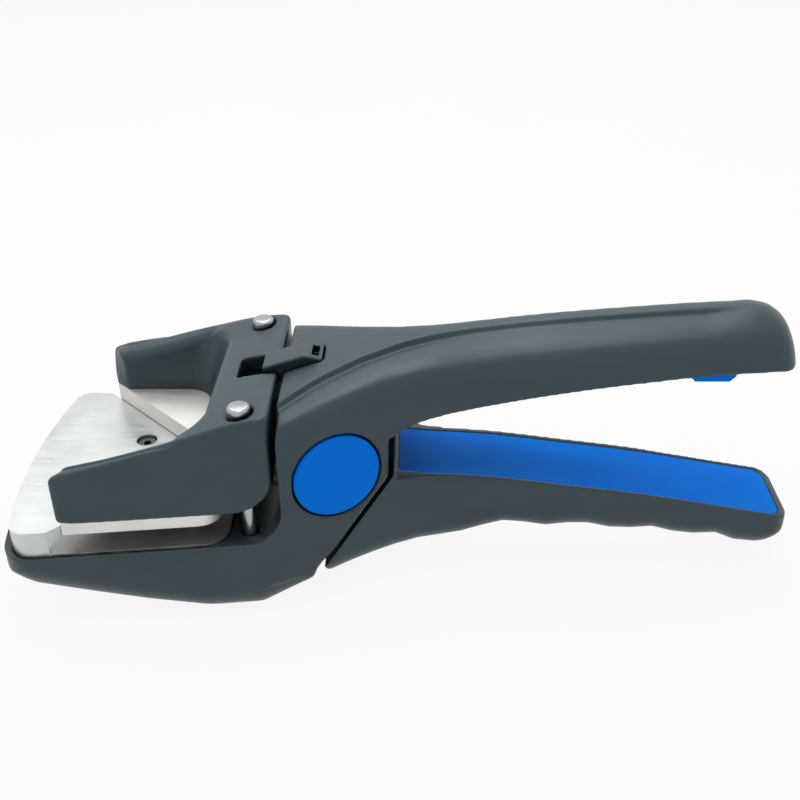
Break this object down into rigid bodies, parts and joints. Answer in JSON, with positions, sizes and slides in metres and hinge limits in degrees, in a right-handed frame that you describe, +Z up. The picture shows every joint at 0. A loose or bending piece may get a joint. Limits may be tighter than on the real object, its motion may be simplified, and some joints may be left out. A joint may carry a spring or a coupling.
{
  "type": "card corner cutter",
  "caption": "Hand-held plier cutter that rounds card corners: steel V bed in a moulded head, sliding die yoke on posts, squeeze handle and yoke latch.",
  "frame": {"origin": "middle of the flat foot under the belly, below the line of the two guide posts", "axes": "+X runs back from the cutting head to the handles, +Z is up and square to the steel bed, +Y completes the right-handed frame"},
  "size_m": [0.2247, 0.0782, 0.0824],
  "materials": {
    "body": "satin",
    "blue": "satin",
    "bed": "brushed",
    "die": "ground",
    "post": "ground",
    "screw": "black oxide",
    "lever": "blackened",
    "bush": "turned",
    "spring": "drawn wire",
    "bracket": "stamped"
  },
  "bodies": {
    "body": {"body_housing": "body", "bed_plate": "bed", "bed_screw_near": "screw", "bed_screw_far": "screw", "guide_post_near": "post", "guide_post_far": "post", "jaw_spring": "spring", "pivot_pin": "post", "pivot_cap_near": "blue", "pivot_cap_far": "blue", "bumper_pad": "blue", "latch_plunger": "post"},
    "jaw": {"jaw_yoke": "body", "upper_die": "die", "die_screw_near": "screw", "die_screw_far": "screw", "guide_bush_near": "bush", "guide_bush_far": "bush", "drive_bracket": "bracket", "bracket_screw_near": "screw", "bracket_screw_far": "screw"},
    "handle": {"lower_handle": "body", "handle_inlay": "blue", "lever_arm": "lever", "lever_screw_front": "screw", "lever_screw_rear": "screw", "pivot_bush": "bush", "drive_pin": "post"},
    "latch": {"latch_bar": "body"}
  },
  "joints": [
    {"name": "handle_pivot", "type": "hinge", "parent": "body", "child": "handle", "pos_m": [0.0249, 0, 0.0425], "axis": [0, -1, 0], "range_deg": [0, 20], "stiffness_Nm_per_rad": 0.36, "springref_deg": -40.11},
    {"name": "jaw_slide", "type": "slide", "parent": "body", "child": "jaw", "axis": [0, 0, -1], "range_m": [0, 0.00385], "deforming": ["jaw_spring"]},
    {"name": "latch_slide", "type": "slide", "parent": "body", "child": "latch", "axis": [-1, 0, 0], "range_m": [0, 0.0065]}
  ],
  "couplings": [
    {"joint": "jaw_slide", "follows": "handle_pivot", "m_per_rad": 0.010886}
  ]
}
